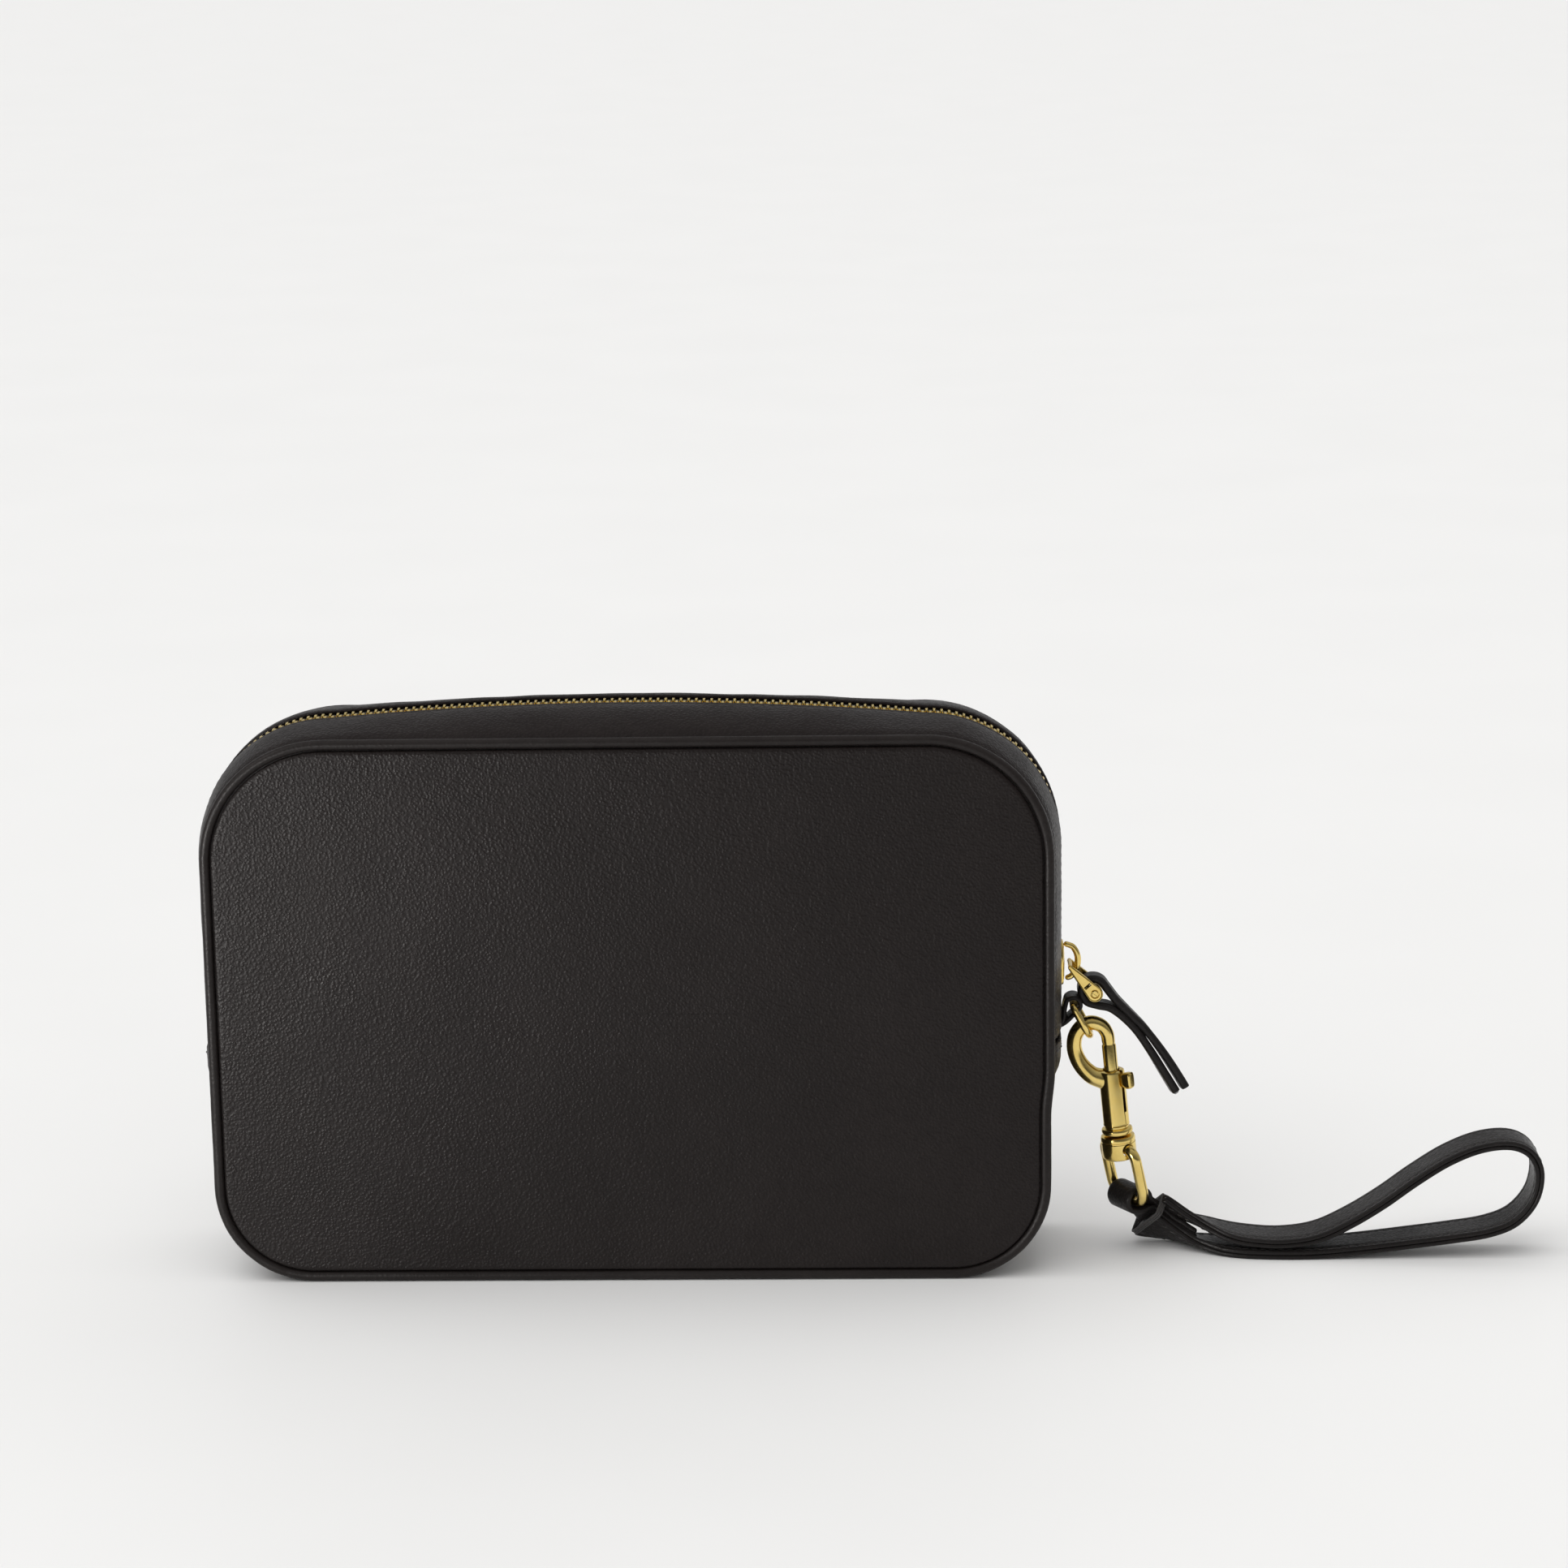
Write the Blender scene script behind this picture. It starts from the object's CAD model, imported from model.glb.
"""Finished look of the leather makeup bag with its wrist strap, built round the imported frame.

X runs along the bag towards the strap, the front panel faces -Y, Z is up and the floor is at
z = 0. Lengths are in millimetres until add_piece turns them into metres.
"""
import math

import bmesh
import bpy
from mathutils import Matrix, Vector, noise


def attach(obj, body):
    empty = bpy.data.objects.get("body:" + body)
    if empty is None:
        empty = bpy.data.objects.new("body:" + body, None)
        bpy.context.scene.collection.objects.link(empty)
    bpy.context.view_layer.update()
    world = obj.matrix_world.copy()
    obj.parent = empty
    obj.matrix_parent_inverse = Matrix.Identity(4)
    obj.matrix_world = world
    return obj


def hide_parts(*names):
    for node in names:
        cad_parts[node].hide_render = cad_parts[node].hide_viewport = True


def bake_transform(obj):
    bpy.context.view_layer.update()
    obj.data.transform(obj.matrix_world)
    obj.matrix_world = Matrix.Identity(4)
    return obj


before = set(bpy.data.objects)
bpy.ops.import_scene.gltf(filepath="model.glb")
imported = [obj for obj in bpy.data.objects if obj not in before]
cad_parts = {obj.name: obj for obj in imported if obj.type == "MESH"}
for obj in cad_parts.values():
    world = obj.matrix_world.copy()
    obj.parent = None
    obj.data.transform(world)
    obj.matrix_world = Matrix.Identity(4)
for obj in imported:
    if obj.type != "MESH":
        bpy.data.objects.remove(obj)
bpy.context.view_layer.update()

MM = 0.001
Y_AXIS = Vector((0.0, 1.0, 0.0))
Z_AXIS = Vector((0.0, 0.0, 1.0))

# Bag body, as in the frame
WIDTH = 240.0
HEIGHT = 159.0
HALF_DEPTH = 25.0
TOP_RADIUS = 36.0
BOTTOM_RADIUS = 28.0
PIPING_RADIUS = 1.5
PANEL_INSET = 3.3
PANEL_THICKNESS = 1.6
LINING_INSET = 4.4
LINING_THICKNESS = 0.8
FOLD_Z = 70.0
GUSSET_EDGE = 21.7
GUSSET_TOP = 68.4
GUSSET_THICKNESS = 1.4
GUSSET_BULGE = 2.0
GUSSET_FLAT = 14.7
FACING_EDGE = 4.6
FACING_THICKNESS = 1.2
SIDE_CROWN = 2.3
TOP_CROWN = 6.0
ZIP_LEFT_END = 74.6
ZIP_RIGHT_END = 77.4
TOOTH_PITCH = 2.17
STITCH_PITCH = 2.6
STITCH_LENGTH = 1.9
THREAD_RADIUS = 0.17
ZIP_STITCH_LENGTH = 1.95
ZIP_STITCH_LINE = 6.3
TOOTH_DEPTH = 1.45

# The lower right side leans in, from LEAN_TOP down over LEAN_BLEND
LEAN = 1.1
LEAN_TOP = 62.0
LEAN_BLEND = 14.0
LEAN_FULL_X = 100.0

# Slider and puller
SLIDER_BOTTOM = 80.8
SLIDER_TOP = 93.2
SIDE_X = WIDTH / 2 + SIDE_CROWN
BRIDGE_PATH = [(123.9, 92.1), (125.8, 91.2), (127.0, 88.9), (127.1, 86.3),
               (126.3, 83.9), (125.2, 82.6), (124.3, 82.2)]
PULLER_TIP = Vector((124.9, 0.0, 86.1))
PULLER_PIN = Vector((131.9, 0.0, 78.3))
CHEEK_INNER = 3.3
CHEEK_OUTER = 4.4
PULL_PATH = [(155.6, 47.3), (152.0, 53.4), (147.5, 61.0), (142.7, 68.0), (137.1, 73.1),
             (133.0, 74.3), (129.9, 75.3), (128.4, 77.3), (128.2, 79.6), (129.5, 81.6),
             (131.7, 82.2), (133.8, 81.4), (135.4, 79.3), (138.1, 75.7), (142.1, 71.4),
             (146.3, 66.9), (151.4, 59.9), (155.9, 52.7), (158.1, 48.9)]
PULL_WIDTH = 6.0
PULL_THICKNESS = 2.3
PULL_TWIST = 0.16
PULL_SLANT = 0.12
PULL_TWIST_START = 136.0
PULL_TWIST_END = 154.0

# Tab, ring and snap hook
TAB_BAR = Vector((125.7, 0.0, 74.7))
RING_BOTTOM = Vector((130.7, 0.0, 65.2))
RING_HALF_WIDTH = 5.2
RING_CORNER = 1.2
RING_WIRE = 1.0
TAB_WIDTH = 7.0
TAB_THICKNESS = 1.3
TAB_LOOP_RADIUS = 2.15
HOOK_ORIGIN = Vector((136.0, 0.0, 62.6))
HOOK_LEAN = math.radians(5.5)
HOOK_PATH = [(-2.6, -10.6), (-5.8, -9.0), (-8.6, -5.4), (-9.9, -1.0), (-9.3, 3.0),
             (-7.0, 5.8), (-4.2, 6.5), (-1.5, 5.2), (-0.2, 2.8), (0.0, 0.3)]
BARREL_TOP = -8.0
BARREL_BOTTOM = -27.2
BARREL_RADIUS = 3.75
BORE_RADIUS = 2.4
BOLT_RADIUS = 2.05
BOLT_LENGTH = 14.0
SLOT_HALF_WIDTH = 0.6
SLOT_BOTTOM = -20.4
SPRING_RADIUS = 1.75
SPRING_WIRE = 0.3
SPRING_BOTTOM = -24.2
SPRING_HEIGHT = 2.6
KNOB_TURN = math.radians(-40.0)
COLLAR_TOP = -27.6
COLLAR_BOTTOM = -34.6
COLLAR_RADIUS = 5.0
EYE_DEPTH = -31.2
EYE_TURN = math.radians(33.0)
EYE_LEAN = math.radians(14.0)
EYE_WIRE = 1.6
EYE_HALF_WIDTH = 7.5
EYE_LENGTH = 17.0
EYE_CLEARANCE = 0.35

# Wrist strap
KEEPER_WIDTH = 10.4
KEEPER_THICKNESS = 1.5
KEEPER_PATH = [(22.0, -11.5), (18.5, -10.7), (15.4, -9.7), (12.3, -8.9), (8.5, -7.0),
               (5.5, -4.9), (2.6, -3.3), (-0.4, -3.0), (-2.95, -1.95), (-3.95, 0.5),
               (-2.95, 2.95), (-0.5, 3.95), (2.1, 3.0), (3.5, 0.7), (4.3, -1.4), (6.3, -3.5),
               (9.4, -5.7), (12.8, -7.4), (15.6, -8.1), (18.5, -9.1), (22.0, -10.0)]
STRAP_WIDTH = 14.0
STRAP_THICKNESS = 2.6
STRAP_STITCH_INSET = 1.8
STRAP_PATH = [(148.6, 12.3), (151.2, 11.3), (154.6, 10.1), (158.7, 8.95), (163.0, 7.65),
              (170.0, 5.95), (177.0, 4.95), (186.0, 4.7), (195.8, 6.2), (205.0, 10.5), (214.4, 16.4),
              (223.6, 23.2), (232.9, 29.2), (242.0, 33.0), (250.5, 33.9), (256.3, 31.3),
              (258.9, 25.5), (257.6, 17.5), (252.5, 11.0), (245.0, 7.7), (235.0, 6.0),
              (222.0, 4.3), (208.0, 2.6), (196.0, 1.5), (186.0, 1.3), (175.0, 1.35),
              (166.0, 1.55), (159.4, 2.2), (155.9, 3.0), (152.3, 4.2), (149.4, 5.5),
              (146.4, 7.3)]
STRAP_DRIFT = [(142.5, 2.2), (146.0, 4.4), (151.0, 4.7), (160.0, 2.2), (172.0, -1.8),
               (186.0, -3.0)]
STRAP_TWIST_START = 150.0
STRAP_TWIST_END = 180.0
STRAP_ROLL = [(144.0, 42.0), (148.0, 38.0), (152.0, 25.0), (156.0, 14.0), (160.0, 6.5),
              (167.0, 0.0)]
BINDING_CENTRE = Vector((148.3, 4.6, 9.3))
BINDING_UP = Vector((0.50, 0.33, 0.80))
BINDING_HALF_WIDTH = 7.8
BINDING_HALF_HEIGHT = 3.9
BINDING_CORNER = 1.0
BINDING_LOOPS = 3
BINDING_PITCH = 0.62
BINDING_THREAD = 0.33

# Studio: strengths of light, and the camera
WORLD_LIGHT = 0.68
REFLECTED_LIGHT = 0.5
OVERHEAD_LIGHT = 1.75
OVERHEAD_SPREAD = math.radians(75.0)
OVERHEAD_HEADING = Vector((0.38, 0.25, -0.9))
FLOOR_HALF = 20000.0
CAMERA_PLACE = (0.0824, -1.1548, 0.4067)
CAMERA_YAW = math.radians(-1.91)
CAMERA_PITCH = math.radians(13.01)
CAMERA_ROLL = math.radians(-0.92)
CAMERA_LENS = 95.9
CAMERA_SENSOR = 36.0


def part_way(value, start, end):
    """0 up to start and 1 from end on; start may be the larger of the two."""
    return min(max((value - start) / (end - start), 0.0), 1.0)


def ease(share):
    return share * share * (3.0 - 2.0 * share)


def add_object(name, data):
    made = bpy.data.objects.new(name, data)
    bpy.context.scene.collection.objects.link(made)
    return made


# Shapes: a shape is (points, faces, material indices)

def skin(rings, closed=False, marks=None):
    """Quads between rings with the same number of points, capped unless closed."""
    count = len(rings[0])
    points = [point for ring in rings for point in ring]
    faces, indices = [], []
    for row in range(len(rings) if closed else len(rings) - 1):
        here, there = row * count, ((row + 1) % len(rings)) * count
        for side in range(count):
            following = (side + 1) % count
            faces.append((here + side, here + following, there + following, there + side))
            indices.append(marks[side] if marks else 0)
    if not closed:
        last = (len(rings) - 1) * count
        faces.append(tuple(range(count)))
        faces.append(tuple(last + side for side in range(count)))
        indices += [marks[0] if marks else 0] * 2
    return points, faces, indices


def add_piece(name, shapes, materials, body=None, replaces=(), sharp=40.0):
    """One object from shapes in millimetres, riding on a body of the frame."""
    mesh = bpy.data.meshes.new(name)
    points, faces, indices = [], [], []
    for shape_points, shape_faces, shape_indices in shapes:
        start = len(points)
        points += [Vector(point) * MM for point in shape_points]
        faces += [tuple(start + index for index in face) for face in shape_faces]
        indices += shape_indices
    mesh.from_pydata(points, [], faces)
    mesh.polygons.foreach_set("material_index", indices)
    tidy = bmesh.new()
    tidy.from_mesh(mesh)
    bmesh.ops.remove_doubles(tidy, verts=tidy.verts, dist=2e-6)
    bmesh.ops.dissolve_degenerate(tidy, edges=tidy.edges, dist=1e-6)
    bmesh.ops.recalc_face_normals(tidy, faces=tidy.faces)
    tidy.to_mesh(mesh)
    tidy.free()
    mesh.shade_smooth()
    mesh.set_sharp_from_angle(angle=math.radians(sharp))
    for material in materials:
        mesh.materials.append(material)
    made = add_object(name, mesh)
    if body:
        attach(made, body)
    if replaces:
        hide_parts(*replaces)
    return made


def carve(target, shape, operation):
    """Cut a shape out of an object, or add it."""
    tool = add_piece("tool", [shape], [])
    change = target.modifiers.new("Carve", "BOOLEAN")
    change.operation = operation
    change.solver = "EXACT"
    change.object = tool
    bpy.context.view_layer.update()
    graph = bpy.context.evaluated_depsgraph_get()
    mesh = bpy.data.meshes.new_from_object(target.evaluated_get(graph))
    target.modifiers.clear()
    target.data = mesh
    bpy.data.objects.remove(tool, do_unlink=True)
    mesh.shade_smooth()
    mesh.set_sharp_from_angle(angle=math.radians(35.0))


def soften(made, width, segments=3):
    """Round the hard edges of a metal piece."""
    bevel = made.modifiers.new("Edges", "BEVEL")
    bevel.width = width * MM
    bevel.segments = segments
    bevel.limit_method = "ANGLE"
    bevel.angle_limit = math.radians(38.0)
    bevel.use_clamp_overlap = True
    bevel.harden_normals = True


def smooth_path(points, steps):
    """Catmull-Rom curve through the points, with steps segments per span."""
    points = [Vector(point) for point in points]
    padded = [points[0] * 2 - points[1], *points, points[-1] * 2 - points[-2]]
    curve = []
    for index in range(1, len(padded) - 2):
        before, start, end, after = padded[index - 1:index + 3]
        for step in range(steps):
            t = step / steps
            curve.append(0.5 * (2 * start + (end - before) * t
                                + (2 * before - 5 * start + 4 * end - after) * t ** 2
                                + (3 * start - before - 3 * end + after) * t ** 3))
    curve.append(points[-1])
    return curve


def tangents(path, closed=False):
    count = len(path)
    result = []
    for index in range(count):
        if closed:
            step = path[(index + 1) % count] - path[index - 1]
        else:
            step = path[min(index + 1, count - 1)] - path[max(index - 1, 0)]
        result.append(step.normalized())
    return result


def arc(centre, radius, start, end, steps):
    """Points (a, b) on an arc, with its angles in degrees."""
    points = []
    for step in range(steps + 1):
        angle = math.radians(start + (end - start) * step / steps)
        points.append((centre[0] + radius * math.cos(angle),
                       centre[1] + radius * math.sin(angle)))
    return points


def tube(path, radius, facets, normal, closed=False):
    """Round wire along a flat path; radius is one number or one for each point."""
    radii = radius if isinstance(radius, list) else [radius] * len(path)
    sections = list(zip(path, tangents(path, closed), radii))
    if not closed:
        first, last = sections[0], sections[-1]
        dome = [(math.sin(a), math.cos(a)) for a in (1.45, 1.1, 0.7, 0.3)]
        start = [(first[0] - first[1] * first[2] * s, first[1], first[2] * c) for s, c in dome]
        end = [(last[0] + last[1] * last[2] * s, last[1], last[2] * c) for s, c in dome]
        sections = start + sections + end[::-1]
    rings = []
    for point, tangent, size in sections:
        sideways = tangent.cross(normal).normalized()
        rings.append([point + size * (math.cos(math.tau * step / facets) * sideways
                                      + math.sin(math.tau * step / facets) * normal)
                      for step in range(facets)])
    return skin(rings, closed)


def lathe(profile, steps, hollow=False):
    """Revolve (radius, height) points round Z; a hollow profile is a closed loop off the axis."""
    rings = []
    for radius, height in profile:
        rings.append([Vector((radius * math.cos(math.tau * step / steps),
                              radius * math.sin(math.tau * step / steps), height))
                      for step in range(steps)])
    return skin(rings, hollow)


def box(low, high):
    rings = []
    for x in (low[0], high[0]):
        rings.append([Vector((x, low[1], low[2])), Vector((x, high[1], low[2])),
                      Vector((x, high[1], high[2])), Vector((x, low[1], high[2]))])
    return skin(rings)


def moved(shape, matrix):
    points, faces, indices = shape
    return [matrix @ Vector(point) for point in points], faces, indices


def strip_section(width, thickness, plies, groove=None):
    """Section of a leather strip with painted round edges, as (across, out) and marks."""
    half, low, ply = width / 2, -thickness / 2, thickness / plies
    edge = []
    for index in range(plies):
        base = low + ply * index
        edge += [(half - 0.42 * ply, base), (half - 0.12 * ply, base + 0.12 * ply),
                 (half, base + 0.34 * ply), (half, base + 0.66 * ply),
                 (half - 0.12 * ply, base + 0.88 * ply), (half - 0.42 * ply, base + ply)]
    face = [half * share for share in (0.7, 0.35, 0.0, -0.35, -0.7)]
    if groove:
        face = [half - groove + 0.4, half - groove, half - groove - 0.4, half * 0.4, 0.0,
                -half * 0.4, groove - half + 0.4, groove - half, groove - half - 0.4]
    sink = {half - groove, groove - half} if groove else set()
    top = [(a, thickness / 2 - (0.16 if a in sink else 0.0)) for a in face]
    bottom = [(-a, -b) for a, b in top]
    left = [(-a, -b) for a, b in edge]
    section = edge + top + left + bottom
    marks = [0] * len(section)
    for start in (0, len(edge) + len(top)):
        for index in range(len(edge) - 1):
            marks[start + index] = 1
    return section, marks


def strip(path, sides, section, marks, scale=None):
    """Sweep a strip's section along a path; sides holds a width direction per point."""
    rings = []
    for index, (point, tangent, side) in enumerate(zip(path, tangents(path), sides)):
        normal = tangent.cross(side).normalized()
        wide, thick = scale[index] if scale else (1.0, 1.0)
        rings.append([point + side * (a * wide) + normal * (b * thick) for a, b in section])
    return skin(rings, marks=marks)


def rounded_ends(path, first, last, reach):
    """Width and thickness factors that round off the ends of a strip."""
    total = [0.0]
    for here, there in zip(path, path[1:]):
        total.append(total[-1] + (there - here).length)
    factors = []
    for length in total:
        near = min(length if first else reach, (total[-1] - length) if last else reach, reach)
        share = 1.0 - near / reach
        factors.append((max(math.sqrt(max(1.0 - share ** 2, 0.0)), 0.05),
                        max((1.0 - share ** 6), 0.4)))
    return factors


def along(path, pitch, offset=0.0):
    """(point, tangent) at equal distances along a path."""
    result = []
    wanted = offset
    done = 0.0
    for here, there in zip(path, path[1:]):
        span = (there - here).length
        while span > 0 and wanted <= done + span:
            result.append((here.lerp(there, (wanted - done) / span), (there - here).normalized()))
            wanted += pitch
        done += span
    return result


def stitch(point, tangent, normal, length, radius):
    """One stitch: a short thread whose ends dive into the leather."""
    side = tangent.cross(normal).normalized()
    rings = []
    for share, rise, size in ((-0.5, -0.9, 0.45), (-0.46, -0.2, 0.8), (-0.32, 0.25, 1.0),
                              (0.0, 0.45, 1.05), (0.32, 0.25, 1.0), (0.46, -0.2, 0.8),
                              (0.5, -0.9, 0.45)):
        centre = point + tangent * (length * share) + normal * (radius * rise)
        rings.append([centre + radius * size * (math.cos(math.tau * step / 7) * side
                                                + math.sin(math.tau * step / 7) * normal)
                      for step in range(7)])
    return skin(rings)


def wobble(point, size, height):
    """Smooth undulation of about that height over that size."""
    return height * noise.noise(Vector(point) / size)


# Materials

class Nodes:
    """Short calls for building a material's node tree."""

    def __init__(self, name):
        self.material = bpy.data.materials.new(name)
        self.material.use_nodes = True
        self.tree = self.material.node_tree
        self.shader = self.tree.nodes["Principled BSDF"]
        self.place = self.add("ShaderNodeTexCoord").outputs["Object"]

    def add(self, kind, **settings):
        node = self.tree.nodes.new(kind)
        for key, value in settings.items():
            setattr(node, key, value)
        return node

    def link(self, output, node, socket):
        self.tree.links.new(output, node.inputs[socket])

    def noise(self, scale, detail=3.0, roughness=0.55, stretch=None):
        node = self.add("ShaderNodeTexNoise")
        node.inputs["Scale"].default_value = scale
        node.inputs["Detail"].default_value = detail
        node.inputs["Roughness"].default_value = roughness
        place = self.place
        if stretch:
            mapping = self.add("ShaderNodeMapping")
            mapping.inputs["Scale"].default_value = stretch
            self.link(place, mapping, "Vector")
            place = mapping.outputs["Vector"]
        self.link(place, node, "Vector")
        return node.outputs["Fac"]

    def cells(self, scale, feature="F1", warp=0.0):
        """Cell distances; warp shifts the cells by up to that many metres to make them uneven."""
        node = self.add("ShaderNodeTexVoronoi", feature=feature)
        node.inputs["Scale"].default_value = scale
        place = self.place
        if warp:
            drift = self.add("ShaderNodeTexNoise")
            drift.inputs["Scale"].default_value = scale * 0.45
            self.link(place, drift, "Vector")
            shift = self.add("ShaderNodeVectorMath", operation="MULTIPLY_ADD")
            shift.inputs[1].default_value = (warp, warp, warp)
            self.link(drift.outputs["Color"], shift, 0)
            self.link(place, shift, 2)
            place = shift.outputs["Vector"]
        self.link(place, node, "Vector")
        return node.outputs["Distance"]

    def wave(self, scale, direction, distortion=0.0):
        node = self.add("ShaderNodeTexWave", bands_direction=direction)
        node.inputs["Scale"].default_value = scale
        node.inputs["Distortion"].default_value = distortion
        self.link(self.place, node, "Vector")
        return node.outputs["Fac"]

    def spread(self, value, low, high, start=0.3, end=0.7):
        """Map a texture value from start..end to low..high."""
        node = self.add("ShaderNodeMapRange")
        for socket, number in (("From Min", start), ("From Max", end), ("To Min", low),
                               ("To Max", high)):
            node.inputs[socket].default_value = number
        self.link(value, node, "Value")
        return node.outputs["Result"]

    def blend(self, value, first, second, start=0.35, end=0.65):
        """Colour ramp between two colours."""
        node = self.add("ShaderNodeValToRGB")
        ramp = node.color_ramp
        ramp.elements[0].position, ramp.elements[1].position = start, end
        ramp.elements[0].color, ramp.elements[1].color = (*first, 1.0), (*second, 1.0)
        self.link(value, node, "Fac")
        return node.outputs["Color"]

    def maths(self, operation, first, second):
        node = self.add("ShaderNodeMath", operation=operation)
        for socket, value in enumerate((first, second)):
            if isinstance(value, (int, float)):
                node.inputs[socket].default_value = value
            else:
                self.link(value, node, socket)
        return node.outputs["Value"]

    def bump(self, height, depth_mm, strength=1.0, below=None):
        node = self.add("ShaderNodeBump")
        node.inputs["Strength"].default_value = strength
        node.inputs["Distance"].default_value = depth_mm * MM
        self.link(height, node, "Height")
        if below is not None:
            self.link(below, node, "Normal")
        return node.outputs["Normal"]

    def finish(self, colour, roughness, normal, **constants):
        self.link(colour, self.shader, "Base Color")
        self.link(roughness, self.shader, "Roughness")
        self.link(normal, self.shader, "Normal")
        for socket, value in constants.items():
            self.shader.inputs[socket.replace("_", " ")].default_value = value
        return self.material


def leather_material(name, dark, light, smooth, rough, grain=1.0):
    """Satin calf leather: pebbled grain, pores, faint creases and uneven dye."""
    nodes = Nodes(name)
    pebbles = nodes.cells(1350.0, "SMOOTH_F1", 0.0006)
    fine = nodes.noise(3200.0, 2.0)
    creases = nodes.noise(230.0, 5.0, 0.62)
    body = nodes.bump(nodes.noise(36.0, 2.0), 0.3, 0.3)
    body = nodes.bump(creases, 0.09 * grain, 0.5, body)
    raised = nodes.spread(pebbles, 1.0, 0.0, 0.1, 0.62)
    body = nodes.bump(raised, 0.10 * grain, 1.0, body)
    body = nodes.bump(fine, 0.02 * grain, 0.6, body)
    dye = nodes.maths("ADD", nodes.maths("MULTIPLY", nodes.noise(24.0, 3.0), 0.6),
                      nodes.maths("MULTIPLY", creases, 0.4))
    dye = nodes.maths("ADD", dye, nodes.spread(raised, -0.12, 0.06, 0.0, 1.0))
    colour = nodes.blend(dye, dark, light)
    shine = nodes.maths("ADD", nodes.spread(nodes.noise(60.0, 4.0), smooth, rough),
                        nodes.spread(raised, 0.09, -0.04, 0.0, 1.0))
    return nodes.finish(colour, shine, body, Specular_IOR_Level=0.19, Sheen_Weight=0.015,
                        Sheen_Roughness=0.4)


def gold_material(name, smooth=0.14, rough=0.24):
    """Polished plated metal with faint brushing and handling marks."""
    nodes = Nodes(name)
    brushed = nodes.noise(900.0, 3.0, 0.6, (1.0, 1.0, 0.12))
    marks = nodes.noise(160.0, 5.0, 0.65)
    normal = nodes.bump(brushed, 0.006, 0.35)
    normal = nodes.bump(marks, 0.03, 0.25, normal)
    colour = nodes.blend(marks, (0.76, 0.555, 0.165), (0.87, 0.67, 0.235))
    shine = nodes.spread(marks, smooth, rough)
    return nodes.finish(colour, shine, normal, Metallic=1.0)


def thread_material():
    """Waxed polyester thread: twisted plies."""
    nodes = Nodes("thread")
    twist = nodes.wave(900.0, "DIAGONAL", 1.5)
    fuzz = nodes.noise(3000.0, 2.0)
    normal = nodes.bump(fuzz, 0.02, 0.5, nodes.bump(twist, 0.06, 0.8))
    colour = nodes.blend(fuzz, (0.012, 0.0105, 0.0095), (0.035, 0.030, 0.027))
    return nodes.finish(colour, nodes.spread(twist, 0.5, 0.72, 0.0, 1.0), normal,
                        Sheen_Weight=0.15)


def woven_material(name, dark, light, scale, rough):
    """Plain weave, with each yarn raised where it crosses the other."""
    nodes = Nodes(name)
    warp = nodes.wave(scale, "X", 0.4)
    weft = nodes.wave(scale, "Z", 0.4)
    across = nodes.wave(scale, "Y", 0.4)
    yarns = nodes.maths("ADD", nodes.maths("MULTIPLY", warp, weft), across)
    slub = nodes.noise(500.0, 4.0)
    normal = nodes.bump(slub, 0.05, 0.4, nodes.bump(yarns, 0.14, 0.8))
    colour = nodes.blend(nodes.maths("MULTIPLY", yarns, slub), dark, light, 0.1, 0.8)
    return nodes.finish(colour, nodes.spread(slub, rough - 0.08, rough + 0.08), normal,
                        Sheen_Weight=0.25)


def floor_material():
    nodes = Nodes("studio_floor")
    mottle = nodes.noise(9.0, 2.0)
    return nodes.finish(nodes.blend(mottle, (0.805, 0.80, 0.79), (0.81, 0.805, 0.795)),
                        nodes.spread(mottle, 0.58, 0.62), nodes.bump(mottle, 0.02, 0.1))


LEATHER = leather_material("leather", (0.0080, 0.0052, 0.0047), (0.0122, 0.0086, 0.0079),
                           0.34, 0.46)
LEATHER_CORD = leather_material("leather_piping", (0.011, 0.0082, 0.0075),
                                (0.017, 0.0135, 0.0125), 0.32, 0.44, 0.35)
STRAP_LEATHER = leather_material("strap_leather", (0.010, 0.0084, 0.0080),
                                 (0.019, 0.0163, 0.0155), 0.30, 0.44, 0.6)
EDGE_PAINT = leather_material("edge_paint", (0.008, 0.0066, 0.0062), (0.016, 0.0135, 0.0128),
                              0.26, 0.36, 0.35)
GOLD = gold_material("gold")
GOLD_TEETH = gold_material("gold_teeth", 0.16, 0.28)
THREAD = thread_material()
TAPE = woven_material("zip_tape", (0.006, 0.0055, 0.005), (0.022, 0.019, 0.018), 260.0, 0.85)
LINING = woven_material("lining_twill", (0.012, 0.0105, 0.010), (0.040, 0.036, 0.033), 190.0,
                        0.8)


# Outline of the bag: stations are (x, z, normal x, normal z), from the right side upwards

def run(start, end, normal, spacing=2.2):
    count = max(int(math.dist(start, end) / spacing), 1)
    return [(start[0] + (end[0] - start[0]) * step / count,
             start[1] + (end[1] - start[1]) * step / count, *normal) for step in range(count)]


def corner(centre, radius, start):
    """A quarter turn from an angle in degrees."""
    steps = 22
    stations = []
    for step in range(steps):
        angle = math.radians(start + 90.0 * step / steps)
        normal = (math.cos(angle), math.sin(angle))
        stations.append((centre[0] + radius * normal[0], centre[1] + radius * normal[1], *normal))
    return stations


def upper_stations(right_z, left_z):
    side, flat, shoulder = WIDTH / 2, WIDTH / 2 - TOP_RADIUS, HEIGHT - TOP_RADIUS
    return (run((side, right_z), (side, shoulder), (1.0, 0.0))
            + corner((flat, shoulder), TOP_RADIUS, 0.0)
            + run((flat, HEIGHT), (-flat, HEIGHT), (0.0, 1.0))
            + corner((-flat, shoulder), TOP_RADIUS, 90.0)
            + run((-side, shoulder), (-side, left_z), (-1.0, 0.0))
            + [(-side, left_z, -1.0, 0.0)])


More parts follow.
